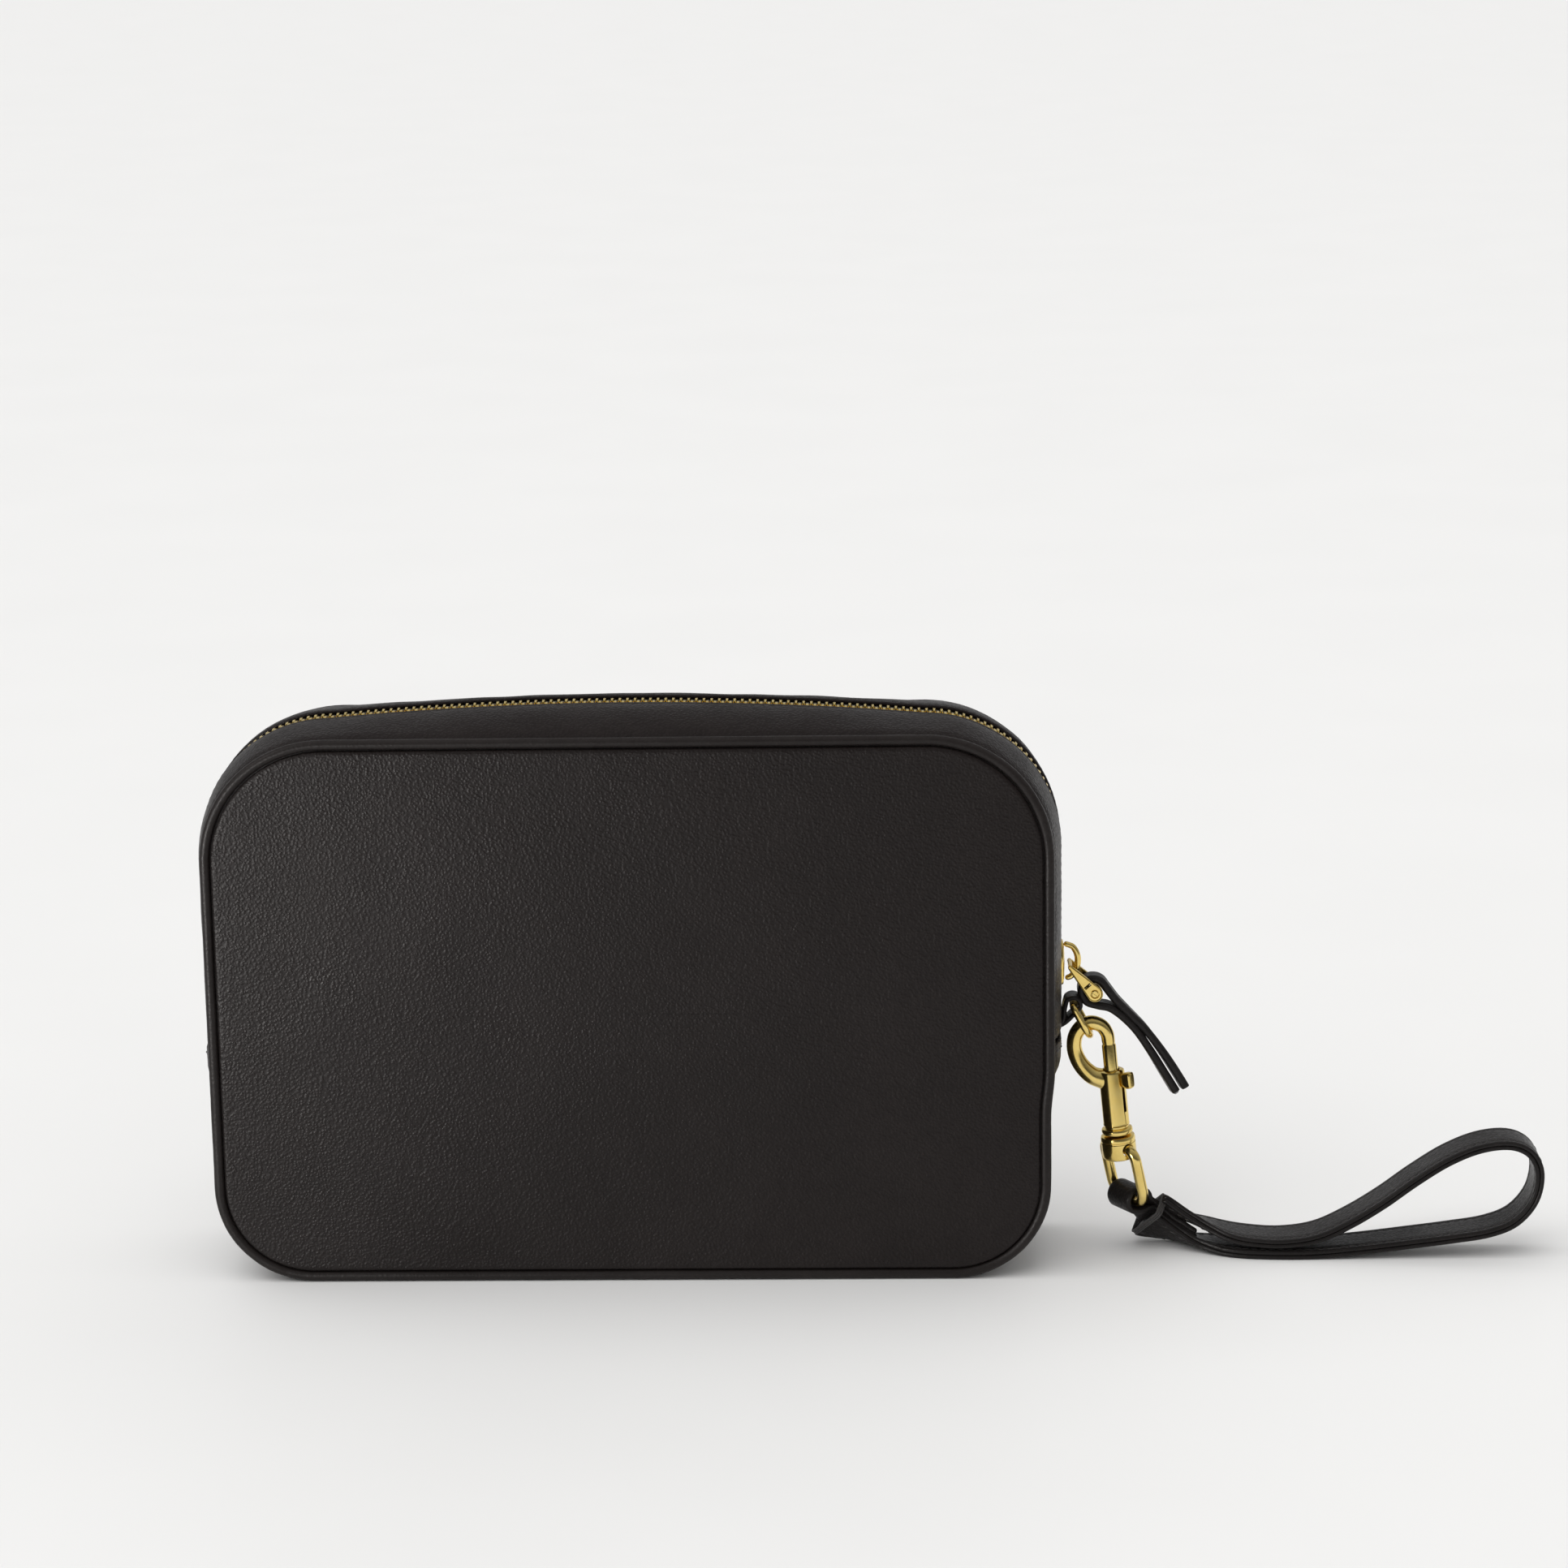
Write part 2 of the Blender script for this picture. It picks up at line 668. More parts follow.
def lower_stations(left_z, right_z):
    side, flat, low = WIDTH / 2, WIDTH / 2 - BOTTOM_RADIUS, BOTTOM_RADIUS
    return (run((-side, left_z), (-side, low), (-1.0, 0.0), 1.5)
            + corner((-flat, low), BOTTOM_RADIUS, 180.0)
            + run((-flat, 0.0), (flat, 0.0), (0.0, -1.0))
            + corner((flat, low), BOTTOM_RADIUS, 270.0)
            + run((side, low), (side, right_z), (1.0, 0.0), 1.5)
            + [(side, right_z, 1.0, 0.0)])


def whole_outline():
    return upper_stations(FOLD_Z, FOLD_Z)[:-1] + lower_stations(FOLD_Z, FOLD_Z)[:-1]


def at(station, out, y=0.0):
    """A point in or out from the outline; the lower right side leans in a little."""
    x, z, normal_x, normal_z = station
    lean = LEAN * ease(part_way(z, LEAN_TOP, LEAN_TOP - LEAN_BLEND)) * part_way(x, 0.0, LEAN_FULL_X)
    return Vector((x + normal_x * out - lean, y, z + normal_z * out))


def crown(station):
    """How far the zip stands out from the piping at a station."""
    x, _, _, normal_z = station
    flat = WIDTH / 2 - TOP_RADIUS
    if normal_z < 0.999 or abs(x) >= flat:
        return SIDE_CROWN
    return SIDE_CROWN + (TOP_CROWN - SIDE_CROWN) * (1 - (x / flat) ** 2)


# Leather body

def panel_shape(side, inset, face_y, thickness, roll, swell):
    """A panel whose edge rolls back into its seam; side is -1 in front and 1 behind."""
    stations = whole_outline()
    edge_steps = [0.0, 0.08, 0.2, 0.4, 0.7, 1.1, 1.7, 2.7, 4.2, 6.5, 9.5, 13.0]
    middle_z = HEIGHT / 2
    core = WIDTH / 2 - middle_z

    def surface(x, z, distance):
        lift = swell * (1 - (x / (WIDTH / 2)) ** 2) * (1 - ((z - middle_z) / middle_z) ** 2)
        lift += wobble((x, side * 40.0, z), 46.0, 0.35 * swell) * min(distance / 12.0, 1.0)
        lift += wobble((x, side * 90.0, z), 17.0, 0.10 * swell) * min(distance / 3.0, 1.0)
        if distance < roll:
            lift -= roll - math.sqrt(roll ** 2 - (roll - distance) ** 2)
        return lift

    outlines = [(distance, [at(s, -inset - distance) for s in stations])
                for distance in edge_steps]
    last = outlines[-1][1]
    reach = max(point.x for point in last)
    cores = [Vector((point.x * core / reach, 0.0, middle_z)) for point in last]
    inner_steps = 26
    for step in range(1, inner_steps + 1):
        share = step / inner_steps
        outlines.append((edge_steps[-1] + share * 60.0,
                         [point.lerp(centre, share) for point, centre in zip(last, cores)]))
    front, back = [], []
    for distance, outline in outlines:
        front.append([Vector((p.x, side * (face_y + surface(p.x, p.z, distance)), p.z))
                      for p in outline])
        back.append([Vector((p.x, side * (face_y - thickness), p.z)) for p in outline])
    return skin(back[::-1] + front)


def piping_shape(side):
    """Covered cord round the panel, with the seam allowance that closes the groove."""
    path = []
    radii = []
    for station in whole_outline():
        point = at(station, -PIPING_RADIUS - 0.1, side * (HALF_DEPTH - PIPING_RADIUS))
        path.append(point)
        radii.append(PIPING_RADIUS + wobble(point, 7.0, 0.07) + wobble(point, 2.2, 0.03))
    allowance = []
    for out, y in ((-1.6, 23.1), (-1.6, 23.35), (-4.3, 23.35), (-4.3, 23.1)):
        allowance.append([at(station, out, side * y) for station in whole_outline()])
    strip_rings = [list(ring) for ring in zip(*allowance)]
    return [tube(path, radii, 16, Y_AXIS, True), skin(strip_rings, True)]


def make_front():
    """The front runs on over the fold, so its pieces bend there."""
    made = [
        add_piece("front_panel", [panel_shape(-1, PANEL_INSET, HALF_DEPTH, PANEL_THICKNESS, 1.1,
                                              0.9)], [LEATHER],
                  replaces=["panel_front_lower", "panel_front_upper"]),
        add_piece("front_piping", piping_shape(-1), [LEATHER_CORD],
                  replaces=["piping_front_lower", "piping_front_upper"]),
        add_piece("front_lining", [panel_shape(-1, LINING_INSET, 23.0, LINING_THICKNESS, 0.3,
                                               0.0)], [LINING],
                  replaces=["lining_front_lower", "lining_front_upper"]),
    ]
    for each in made:
        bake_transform(each)


def make_back():
    add_piece("back_panel", [panel_shape(1, PANEL_INSET, HALF_DEPTH, PANEL_THICKNESS, 1.1, 0.9)],
              [LEATHER], "bag", ["panel_back"])
    add_piece("back_piping", piping_shape(1), [LEATHER_CORD], "bag", ["piping_back"])
    add_piece("back_lining", [panel_shape(1, LINING_INSET, 23.0, LINING_THICKNESS, 0.3, 0.0)],
              [LINING], "bag", ["lining_back"])


def gusset_out(station, y, drop):
    """Outer surface of the lower gusset, with its bulge, tucks and the roll to the seam."""
    x, z, normal_x, _ = station
    rise = ease(part_way(z, 56.0, 62.0)) if abs(normal_x) > 0.999 else 0.0
    share = min((GUSSET_EDGE - abs(y)) / (GUSSET_EDGE - GUSSET_FLAT), 1.0)
    out = GUSSET_BULGE * rise * max(share, 0.0) - drop
    seam = part_way(abs(y), 19.0, 22.0)
    tuck = math.exp(-((z - 57.5) / 2.6) ** 2) * (1 - (y / 22.0) ** 2) * abs(normal_x)
    out -= 0.7 * seam ** 2 + 0.5 * tuck
    return out + wobble((x, y, z), 13.0, 0.28) * (1 - seam)


def gusset_shape(edge, drop, thickness, stations):
    ys = [edge * share for share in (-1, -0.97, -0.92, -0.84, -0.72, -0.55, -0.35, -0.12,
                                     0.12, 0.35, 0.55, 0.72, 0.84, 0.92, 0.97, 1)]
    rings = []
    for station in stations:
        z, normal_x = station[1], station[2]
        lip = part_way(z, GUSSET_TOP - 0.7, GUSSET_TOP) if abs(normal_x) > 0.999 else 0.0
        pinch = (1 - math.sqrt(1 - (0.98 * lip) ** 2)) * thickness * 0.48
        outer = [(y, gusset_out(station, y, drop)) for y in ys]
        ring = [at(station, out - pinch, y) for y, out in outer]
        ring += [at(station, out - thickness + pinch, y) for y, out in reversed(outer)]
        rings.append(ring)
    return skin(rings)


def lipped(stations):
    """Add sections close to the two ends, for a round lip."""
    left, right = stations[0], stations[-1]
    ends = [(left[0], GUSSET_TOP - d, left[2], left[3]) for d in (0.0, 0.05, 0.2, 0.45, 0.7)]
    others = [(right[0], GUSSET_TOP - d, right[2], right[3])
              for d in (0.7, 0.45, 0.2, 0.05, 0.0)]
    return ends + stations[1:-1] + others


def make_gusset():
    stations = lipped(lower_stations(GUSSET_TOP, GUSSET_TOP))
    add_piece("gusset", [gusset_shape(GUSSET_EDGE + 0.4, 0.0, GUSSET_THICKNESS, stations)],
              [LEATHER], "bag", ["gusset_lower"])
    drop = GUSSET_THICKNESS + 0.6
    add_piece("gusset_lining", [gusset_shape(GUSSET_EDGE - 0.9, drop, LINING_THICKNESS,
                                             stations)], [LINING], "bag", ["lining_gusset"])
    shapes = []
    for sign in (-1.0, 1.0):
        station = (sign * WIDTH / 2, GUSSET_TOP - 2.4, sign, 0.0)
        path = [at(station, gusset_out(station, y * 0.5, 0.0) - 0.08, y * 0.5)
                for y in range(-40, 41)]
        outward = Vector((sign, 0.0, 0.0))
        shapes += [stitch(point, tangent, outward, STITCH_LENGTH, THREAD_RADIUS)
                   for point, tangent in along(path, STITCH_PITCH, 0.6)]
    add_piece("gusset_stitches", shapes, [THREAD], "bag")


def facing_out(station, distance):
    """Outer surface of a zip facing: crowned, with a sewn groove and a rolled seam."""
    reach = (distance - FACING_EDGE) / (GUSSET_EDGE - FACING_EDGE)
    out = crown(station) * (1 - max(reach, 0.0) ** 2)
    seam = part_way(distance, 19.4, 22.0)
    groove = math.exp(-((distance - ZIP_STITCH_LINE) / 0.45) ** 2)
    ripple = wobble((station[0], distance, station[1]), 11.0, 0.22) * (1 - seam)
    fade = part_way(distance, FACING_EDGE, FACING_EDGE + 4.0)
    return out - 0.55 * seam ** 2 - 0.16 * groove + ripple * fade


def facing_shape(stations, side):
    """Leather facing along one side of the zip, with a round nose at the teeth."""
    rings = []
    nose = FACING_THICKNESS / 2
    for station in stations:
        distances = (22.1, 21.5, 20.8, 20.0, 19.0, 17.0, 14.5, 12.0, 9.8, 8.2, 7.2, 6.75, 6.5,
                     6.3, 6.1, 5.85, 5.5)
        outer = [(d, facing_out(station, d)) for d in distances]
        base = facing_out(station, FACING_EDGE + nose)
        for angle in (90, 60, 30, 0, -30, -60, -90):
            turn = math.radians(angle)
            outer.append((FACING_EDGE + nose - nose * math.cos(turn),
                          base - nose + nose * math.sin(turn)))
        inner = [(d, facing_out(station, d) - FACING_THICKNESS) for d in (7.2, 10.0, 14.5, 19.0,
                                                                          22.1)]
        rings.append([at(station, out, side * y) for y, out in outer + inner])
    return skin(rings)


def tape_shape(stations, side):
    """Woven tape under the facing, reaching in to the teeth."""
    rings = []
    for station in stations:
        drop = FACING_THICKNESS + 0.3
        outer = [(d, facing_out(station, d) - drop) for d in (9.4, 7.2, FACING_EDGE, 2.3)]
        inner = [(d, out - 0.6) for d, out in reversed(outer)]
        rings.append([at(station, out, side * y) for y, out in outer + inner])
    return skin(rings)


def tooth_shape(station, side, spread):
    """A clamped metal tooth: rounded arms over the tape and a head that meshes."""
    outward = Vector((station[2], 0.0, station[3]))
    forward = Vector((-station[3], 0.0, station[2]))
    centre = at(station, crown(station) - TOOTH_DEPTH)
    rings = []
    for y, wide, tall in ((3.15, 0.30, 0.55), (3.05, 0.46, 0.85), (2.75, 0.56, 1.05),
                          (1.9, 0.58, 1.12), (1.1, 0.56, 1.10), (0.75, 0.46, 1.0),
                          (0.35, 0.50, 1.02), (0.0, 0.46, 0.92), (-0.12, 0.28, 0.6)):
        ring = []
        for a, b in ((1, -0.55), (1, 0.55), (0.55, 1), (-0.55, 1), (-1, 0.55), (-1, -0.55),
                     (-0.55, -1), (0.55, -1)):
            ring.append(centre + Y_AXIS * (side * (y + spread)) + forward * (a * wide)
                        + outward * (b * tall))
        rings.append(ring)
    return skin(rings)


def zip_stations(pitch, offset):
    """Stations at an even pitch from the right end of the zip to the left one."""
    stations = upper_stations(ZIP_RIGHT_END, ZIP_LEFT_END)
    path = [at(station, SIDE_CROWN) for station in stations]
    placed = []
    wanted, done = offset, 0.0
    for here, there, start, end in zip(stations, stations[1:], path, path[1:]):
        span = (end - start).length
        while wanted <= done + span:
            share = (wanted - done) / span
            values = [a + (b - a) * share for a, b in zip(here, there)]
            size = math.hypot(values[2], values[3])
            placed.append((values[0], values[1], values[2] / size, values[3] / size))
            wanted += pitch
        done += span
    return placed


def make_zip_half(label, side, start_z, body):
    stations = upper_stations(start_z, start_z)
    add_piece("facing_" + label, [facing_shape(stations, side)], [LEATHER], body,
              ["zip_facing_" + label])
    add_piece("tape_" + label, [tape_shape(stations, side)], [TAPE], body,
              ["zip_tape_" + label])
    offset = 0.0 if side < 0 else TOOTH_PITCH / 2
    teeth = []
    for station in zip_stations(TOOTH_PITCH, offset):
        below = station[0] > 119.0 and station[1] < SLIDER_TOP + 2.0
        teeth.append(tooth_shape(station, side, 0.75 if below else 0.0))
    add_piece("teeth_" + label, teeth, [GOLD_TEETH], body, ["zip_teeth_" + label], 50.0)
    shapes = []
    for station in zip_stations(STITCH_PITCH, 0.8):
        point = at(station, facing_out(station, ZIP_STITCH_LINE) - 0.03,
                   side * ZIP_STITCH_LINE)
        forward = Vector((-station[3], 0.0, station[2]))
        outward = Vector((station[2], 0.0, station[3]))
        shapes.append(stitch(point, forward, outward, ZIP_STITCH_LENGTH, THREAD_RADIUS))
    add_piece("stitches_" + label, shapes, [THREAD], body)


# Slider and puller

def wing_shape(inner_x, outer_x, dome):
    """A slider plate with a rounded, slightly domed face."""
    top, low, half = SLIDER_TOP, SLIDER_BOTTOM, 4.2
    middle = (top + low) / 2
    side = [(half - 1.3, low), (half - 0.5, low + 0.4), (half, low + 1.5), (half, middle),
            (half - 0.4, middle + 3.0), (half - 1.1, top - 1.2), (half - 1.7, top - 0.3),
            (half - 2.4, top)]
    outline = side + [(-y, z) for y, z in reversed(side)]
    rings = [[Vector((inner_x, y, z)) for y, z in outline]]
    for share, rise in ((1.0, 0.55), (0.96, 0.85), (0.86, 1.0)):
        x = inner_x + (outer_x - inner_x) * rise
        rings.append([Vector((x, y * share, middle + (z - middle) * share)) for y, z in outline])
    rings.append([Vector((outer_x + dome, y * 0.35, middle + (z - middle) * 0.4))
                  for y, z in outline])
    return skin(rings)


def make_slider():
    outer, inner = SIDE_X - 0.4, SIDE_X - 3.2
    slider = add_piece("slider", [wing_shape(outer, outer + 1.2, 0.25)], [GOLD], "slider",
                       ["slider_body"], 35.0)
    carve(slider, wing_shape(inner, inner - 1.2, 0.0), "UNION")
    carve(slider, box((inner - 0.5, -0.45, SLIDER_BOTTOM + 0.8),
                      (outer + 0.5, 0.45, SLIDER_BOTTOM + 5.0)), "UNION")
    for side in (-1.0, 1.0):
        low, high = sorted((side * 3.5, side * 4.15))
        flange = box((outer - 0.75, low, SLIDER_BOTTOM + 1.6), (outer + 0.6, high, SLIDER_TOP - 4.2))
        carve(slider, flange, "UNION")
    path = smooth_path([(x, 0.0, z) for x, z in BRIDGE_PATH], 6)
    radii = [0.8 + 0.12 * math.sin(math.pi * index / (len(path) - 1))
             for index in range(len(path))]
    add_piece("slider_hoop", [tube(path, radii, 20, Y_AXIS)], [GOLD], "slider",
              ["slider_bridge"])


def teardrop(inset):
    """Outline round the tip and the pin of the puller, as (x, z)."""
    along_puller = PULLER_PIN - PULLER_TIP
    heading = math.degrees(math.atan2(along_puller.z, along_puller.x))
    pin = (PULLER_PIN.x, PULLER_PIN.z)
    tip = (PULLER_TIP.x, PULLER_TIP.z)
    return (arc(pin, 2.3 - inset, heading - 100.0, heading + 100.0, 28)
            + arc(tip, 0.66 - inset, heading + 100.0, heading + 260.0, 12))


def cheek_shape(side):
    """A puller cheek with a raised rim round its face."""
    rings = []
    for inset, y in ((0.15, CHEEK_INNER), (0.0, CHEEK_INNER + 0.15), (0.0, CHEEK_OUTER - 0.05),
                     (0.1, CHEEK_OUTER + 0.1), (0.22, CHEEK_OUTER + 0.14),
                     (0.36, CHEEK_OUTER + 0.08), (0.46, CHEEK_OUTER - 0.12)):
        rings.append([Vector((x, side * y, z)) for x, z in teardrop(inset)])
    return skin(rings)


def cross_rod(centre, radius, half_length):
    rings = []
    for y in (-half_length, half_length):
        rings.append([Vector((x, y, z))
                      for x, z in arc((centre.x, centre.z), radius, 0.0, 360.0, 32)[:-1]])
    return skin(rings)


def make_puller():
    puller = add_piece("puller_cheeks", [cheek_shape(-1.0)], [GOLD], "puller", ["puller"],
                       35.0)
    carve(puller, cheek_shape(1.0), "UNION")
    carve(puller, cross_rod(PULLER_TIP, 0.6, CHEEK_INNER + 0.5), "UNION")
    carve(puller, cross_rod(PULLER_PIN, 1.35, 6.0), "DIFFERENCE")
    direction = (PULLER_PIN - PULLER_TIP).normalized()
    across = direction.cross(Y_AXIS)
    centre = PULLER_PIN - direction * 3.1
    corners = [centre + direction * a + across * b
               for a, b in ((-0.45, -1.1), (0.45, -1.1), (0.45, 1.1), (-0.45, 1.1))]
    slot = skin([[corner_point + Y_AXIS * y for corner_point in corners] for y in (-6.0, 6.0)])
    carve(puller, slot, "DIFFERENCE")
    profile = [(0.0, -4.45), (0.85, -4.45), (1.05, -4.3), (1.05, -3.0), (2.0, -3.0), (2.0, 3.0),
               (1.05, 3.0), (1.05, 4.3), (0.85, 4.45), (0.0, 4.45)]
    stand = Matrix.Translation(PULLER_PIN) @ Matrix.Rotation(math.radians(90.0), 4, "X")
    pin = add_piece("puller_screw", [moved(lathe(profile, 40), stand)], [GOLD], "puller",
                    ["puller_pin"], 35.0)
    for side in (-1.0, 1.0):
        low, high = sorted((side * 4.2, side * 5.0))
        turn = Matrix.Translation(PULLER_PIN) @ Matrix.Rotation(math.radians(35.0), 4, "Y")
        carve(pin, moved(box((-1.5, low, -0.14), (1.5, high, 0.14)), turn), "DIFFERENCE")


def make_pull():
    """Leather pull folded round the pin; its tails twist a little towards the front."""
    path = smooth_path([(x, 0.0, z) for x, z in PULL_PATH], 6)
    sides = []
    for point in path:
        share = part_way(point.x, PULL_TWIST_START, PULL_TWIST_END)
        sides.append(Vector((-math.sin(PULL_TWIST * share), math.cos(PULL_TWIST * share),
                             -PULL_SLANT * share)).normalized())
    section, marks = strip_section(PULL_WIDTH, PULL_THICKNESS, 1)
    shape = strip(path, sides, section, marks, rounded_ends(path, True, True, 0.9))
    add_piece("pull_leather", [shape], [STRAP_LEATHER, EDGE_PAINT], "pull", ["pull_tab"])


def make_tab_and_ring():
    bar = (TAB_BAR.x, TAB_BAR.z)
    loop = arc(bar, TAB_LOOP_RADIUS, 150.0, -50.0, 8)
    flat = ([(120.6, 68.9), (122.5, 69.6), (123.1, 71.4), (123.3, 73.4)] + loop
            + [(125.6, 71.6), (124.0, 70.0), (122.4, 68.9), (120.6, 68.4)])
    path = smooth_path([(x, 0.0, z) for x, z in flat], 4)
    section, marks = strip_section(TAB_WIDTH, TAB_THICKNESS, 1)
    add_piece("tab_leather", [strip(path, [Y_AXIS] * len(path), section, marks)],
              [STRAP_LEATHER, EDGE_PAINT], "bag", ["ring_tab"])
    down = (RING_BOTTOM - TAB_BAR).normalized()
    height = (RING_BOTTOM - TAB_BAR).length
    half, turn = RING_HALF_WIDTH, RING_CORNER
    outline = arc((half - turn, turn), turn, -90.0, 0.0, 8)
    outline += arc((0.0, height - half), half, 0.0, 180.0, 36)
    outline += arc((turn - half, turn), turn, 180.0, 270.0, 8)
    path = [TAB_BAR + Y_AXIS * a + down * b for a, b in outline]
    normal = down.cross(Y_AXIS).normalized()
    add_piece("ring_wire", [tube(path, RING_WIRE, 18, normal, True)], [GOLD], "ring", ["d_ring"])


# Snap hook

HOOK_FRAME = Matrix.Translation(HOOK_ORIGIN) @ Matrix.Rotation(-HOOK_LEAN, 4, "Y")


def barrel_point(height):
    return HOOK_FRAME @ Vector((0.0, 0.0, height))


def make_snap_hook():
    bottom, radius = BARREL_BOTTOM, BARREL_RADIUS
    profile = [(0.0, bottom + 2.4), (BORE_RADIUS, bottom + 2.4), (BORE_RADIUS, BARREL_TOP),
               (radius - 0.55, BARREL_TOP), (radius - 0.15, BARREL_TOP - 0.2),
               (radius, BARREL_TOP - 0.7), (radius, bottom + 3.4), (radius + 0.1, bottom + 2.9),
               (radius - 0.25, bottom + 2.5), (radius - 0.25, bottom + 2.1),
               (radius + 0.55, bottom + 1.7), (radius + 0.75, bottom + 1.3),
               (radius + 0.75, bottom + 0.7), (radius + 0.5, bottom + 0.2), (radius, bottom),
               (1.6, bottom), (1.6, -28.7), (2.7, -28.7), (2.7, -29.3), (0.0, -29.3)]
    hook = add_piece("hook_body", [moved(lathe(profile, 56), HOOK_FRAME)], [GOLD], "hook",
                     ["snap_hook"], 35.0)
    path = smooth_path([(x, 0.0, z) for x, z in HOOK_PATH], 7)
    radii = []
    for index in range(len(path)):
        share = index / (len(path) - 1)
        radii.append(2.15 - 0.25 * max(share - 0.6, 0.0) / 0.4
                     + 0.8 * (max(0.4 - share, 0.0) / 0.4) ** 1.5)
    carve(hook, moved(tube(path, radii, 28, Y_AXIS), HOOK_FRAME), "UNION")
    bore = lathe([(0.0, bottom + 3.0), (BORE_RADIUS, bottom + 3.0),
                  (BORE_RADIUS, BARREL_TOP + 1.5), (0.0, BARREL_TOP + 1.5)], 40)
    carve(hook, moved(bore, HOOK_FRAME), "DIFFERENCE")
    turn = HOOK_FRAME @ Matrix.Rotation(KNOB_TURN, 4, "Z")
    carve(hook, moved(box((0.0, -SLOT_HALF_WIDTH, SLOT_BOTTOM),
                          (6.0, SLOT_HALF_WIDTH, BARREL_TOP + 1.0)), turn), "DIFFERENCE")


def make_bolt():
    radius = BOLT_RADIUS
    profile = [(0.0, 0.0), (radius - 0.7, -0.02), (radius - 0.25, -0.2), (radius, -0.7),
               (radius, -BOLT_LENGTH), (0.0, -BOLT_LENGTH)]
    add_piece("bolt_rod", [moved(lathe(profile, 40), HOOK_FRAME)], [GOLD], "bolt", ["snap_bolt"],
              35.0)
    turn = HOOK_FRAME @ Matrix.Rotation(KNOB_TURN, 4, "Z")
    rings = []
    for reach, half, low, high in ((2.35, 0.4, -12.2, -8.9), (4.2, 0.4, -12.2, -8.9),
                                   (4.3, 1.2, -12.7, -8.5), (5.6, 1.35, -13.1, -8.2),
                                   (6.9, 1.35, -12.9, -8.1), (7.25, 1.0, -12.5, -8.5)):
        middle, tall = (low + high) / 2, (high - low) / 2
        ring = []
        for step in range(20):
            across, rise = math.cos(math.tau * step / 20), math.sin(math.tau * step / 20)
            ring.append(Vector((reach, half * math.copysign(abs(across) ** 0.5, across),
                                middle + tall * math.copysign(abs(rise) ** 0.5, rise))))
        rings.append(ring)
    knob = add_piece("thumb_knob", [moved(skin(rings), turn)], [GOLD], "bolt", ["bolt_knob"],
                     30.0)
    soften(knob, 0.3, 4)


def make_spring():
    turns, per_turn = 3, 24
    path = []
    for step in range(turns * per_turn + 1):
        share = step / (turns * per_turn)
        angle = math.tau * turns * share
        path.append(Vector((SPRING_RADIUS * math.cos(angle), SPRING_RADIUS * math.sin(angle),
                            SPRING_BOTTOM + SPRING_HEIGHT * share)))
    add_piece("spring_coil", [moved(tube(path, SPRING_WIRE, 10, Z_AXIS), HOOK_FRAME)], [GOLD],
              "hook", ["bolt_spring"])


def eye_axes():
    """Directions across and down the eye ring, and the horizontal way the strap leaves."""
    across = Vector((math.sin(EYE_TURN), -math.cos(EYE_TURN), 0.0))
    away = Vector((math.cos(EYE_TURN), math.sin(EYE_TURN), 0.0))
    down = away * math.sin(EYE_LEAN) - Z_AXIS * math.cos(EYE_LEAN)
    return across, down, away


def make_collar():
    """Turning collar with a cross hole for the eye ring."""
    top, low, radius = COLLAR_TOP, COLLAR_BOTTOM, COLLAR_RADIUS
    profile = [(1.95, top), (radius - 0.7, top), (radius - 0.2, top - 0.2), (radius, top - 0.7),
               (radius, top - 1.5), (radius - 0.2, top - 1.7), (radius - 0.2, top - 2.0),
               (radius, top - 2.2), (radius, low + 1.0), (radius - 0.25, low + 0.35),
               (radius - 0.8, low), (3.2, low), (3.2, -28.4), (1.95, -28.4)]
    collar = add_piece("collar_barrel", [moved(lathe(profile, 56, True), HOOK_FRAME)], [GOLD],
                       "collar", ["swivel_collar"], 35.0)
    across, _, _ = eye_axes()
    centre = barrel_point(EYE_DEPTH)
    hole = tube([centre + across * reach for reach in (-9.0, 9.0)], EYE_WIRE + EYE_CLEARANCE,
                28, Z_AXIS)
    carve(collar, hole, "DIFFERENCE")


def make_eye_ring():
    across, down, _ = eye_axes()
    centre = barrel_point(EYE_DEPTH)
    half, top, low = EYE_HALF_WIDTH, 3.2, 4.6
    outline = arc((half - top, top), top, -90.0, 0.0, 10)
    outline += arc((half - low, EYE_LENGTH - low), low, 0.0, 90.0, 16)
    outline += arc((low - half, EYE_LENGTH - low), low, 90.0, 180.0, 16)
    outline += arc((top - half, top), top, 180.0, 270.0, 10)
    path = [centre + across * a + down * b for a, b in outline]
    normal = down.cross(across).normalized()
    add_piece("eye_wire", [tube(path, EYE_WIRE, 22, normal, True)], [GOLD], "eye", ["eye_ring"])
    return centre + down * EYE_LENGTH


# Wrist strap

def interpolate(table, x):
    """Piecewise linear value at x, held at the ends."""
    if x <= table[0][0]:
        return table[0][1]
    for (x0, value0), (x1, value1) in zip(table, table[1:]):
        if x <= x1:
            return value0 + (value1 - value0) * (x - x0) / (x1 - x0)
    return table[-1][1]


def strap_side(x):
    """Width direction of the strap: turned like the eye ring at first, then across."""
    angle = EYE_TURN * ease(part_way(x, STRAP_TWIST_END, STRAP_TWIST_START))
    roll = math.radians(interpolate(STRAP_ROLL, x))
    return Vector((math.sin(angle) * math.cos(roll), -math.cos(angle) * math.cos(roll),
                   math.sin(roll)))


